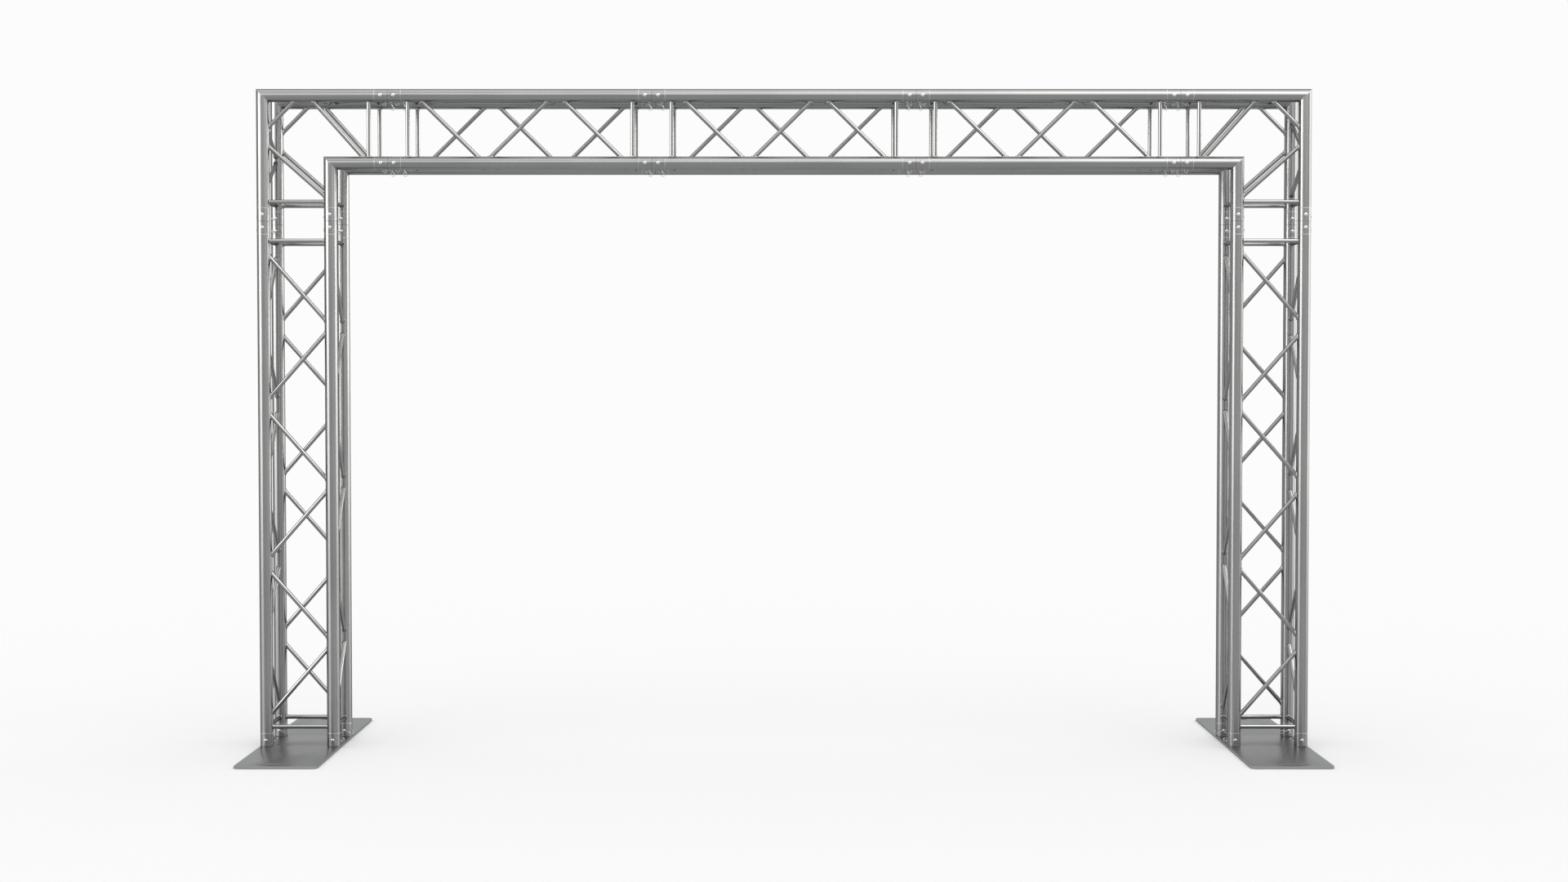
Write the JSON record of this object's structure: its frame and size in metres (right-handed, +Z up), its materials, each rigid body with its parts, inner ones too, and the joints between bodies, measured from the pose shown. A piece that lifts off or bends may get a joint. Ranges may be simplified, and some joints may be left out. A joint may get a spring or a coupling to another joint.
{
  "type": "truss arch",
  "caption": "Freestanding portal arch of square aluminium truss on flat base plates, pinned together with conical couplers and spring clips.",
  "frame": {"origin": "on the ground under the middle of the arch", "axes": "+X along the span, +Y through the depth towards the back, +Z up"},
  "size_m": [4.02, 1.2, 2.51],
  "materials": {
    "chord_tube": "satin drawn tube",
    "brace_tube": "satin drawn tube",
    "socket": "turned, satin",
    "coupler": "turned",
    "plate": "rolled sheet, satin",
    "pin": "zinc plated",
    "clip": "bright spring wire",
    "bolt": "zinc plated"
  },
  "bodies": {
    "arch": {"leg_left_chords": "chord_tube", "leg_left_sockets": "socket", "leg_left_end_frames": "brace_tube", "leg_left_braces": "brace_tube", "leg_right_chords": "chord_tube", "leg_right_sockets": "socket", "leg_right_end_frames": "brace_tube", "leg_right_braces": "brace_tube", "beam_left_chords": "chord_tube", "beam_left_sockets": "socket", "beam_left_end_frames": "brace_tube", "beam_left_braces": "brace_tube", "beam_middle_chords": "chord_tube", "beam_middle_sockets": "socket", "beam_middle_end_frames": "brace_tube", "beam_middle_braces": "brace_tube", "beam_right_chords": "chord_tube", "beam_right_sockets": "socket", "beam_right_end_frames": "brace_tube", "beam_right_braces": "brace_tube", "corner_left_chords": "chord_tube", "corner_left_sockets": "socket", "corner_left_end_frames": "brace_tube", "corner_left_braces": "brace_tube", "corner_right_chords": "chord_tube", "corner_right_sockets": "socket", "corner_right_end_frames": "brace_tube", "corner_right_braces": "brace_tube", "left_leg_joint_couplers": "coupler", "left_leg_joint_pins": "pin", "left_corner_joint_couplers": "coupler", "left_corner_joint_pins": "pin", "left_beam_joint_couplers": "coupler", "left_beam_joint_pins": "pin", "right_beam_joint_couplers": "coupler", "right_beam_joint_pins": "pin", "right_corner_joint_couplers": "coupler", "right_corner_joint_pins": "pin", "right_leg_joint_couplers": "coupler", "right_leg_joint_pins": "pin", "left_base_couplers": "coupler", "left_base_pins": "pin", "right_base_couplers": "coupler", "right_base_pins": "pin", "left_base_plate": "plate", "left_base_bolts": "bolt", "right_base_plate": "plate", "right_base_bolts": "bolt"},
    "left_leg_joint_clips": {"left_leg_joint_clips": "clip"},
    "left_corner_joint_clips": {"left_corner_joint_clips": "clip"},
    "left_beam_joint_clips": {"left_beam_joint_clips": "clip"},
    "right_beam_joint_clips": {"right_beam_joint_clips": "clip"},
    "right_corner_joint_clips": {"right_corner_joint_clips": "clip"},
    "right_leg_joint_clips": {"right_leg_joint_clips": "clip"},
    "left_base_clips": {"left_base_clips": "clip"},
    "right_base_clips": {"right_base_clips": "clip"}
  },
  "joints": [
    {"name": "left_leg_joint_clip_pull", "type": "slide", "parent": "arch", "child": "left_leg_joint_clips", "axis": [-1, 0, 0], "range_m": [0, 0.04]},
    {"name": "left_corner_joint_clip_pull", "type": "slide", "parent": "arch", "child": "left_corner_joint_clips", "axis": [0, 0, -1], "range_m": [0, 0.04]},
    {"name": "left_beam_joint_clip_pull", "type": "slide", "parent": "arch", "child": "left_beam_joint_clips", "axis": [0, 0, -1], "range_m": [0, 0.04]},
    {"name": "right_beam_joint_clip_pull", "type": "slide", "parent": "arch", "child": "right_beam_joint_clips", "axis": [0, 0, -1], "range_m": [0, 0.04]},
    {"name": "right_corner_joint_clip_pull", "type": "slide", "parent": "arch", "child": "right_corner_joint_clips", "axis": [0, 0, -1], "range_m": [0, 0.04]},
    {"name": "right_leg_joint_clip_pull", "type": "slide", "parent": "arch", "child": "right_leg_joint_clips", "axis": [1, 0, 0], "range_m": [0, 0.04]},
    {"name": "left_base_clip_pull", "type": "slide", "parent": "arch", "child": "left_base_clips", "axis": [1, 0, 0], "range_m": [0, 0.04]},
    {"name": "right_base_clip_pull", "type": "slide", "parent": "arch", "child": "right_base_clips", "axis": [-1, 0, 0], "range_m": [0, 0.04]}
  ]
}
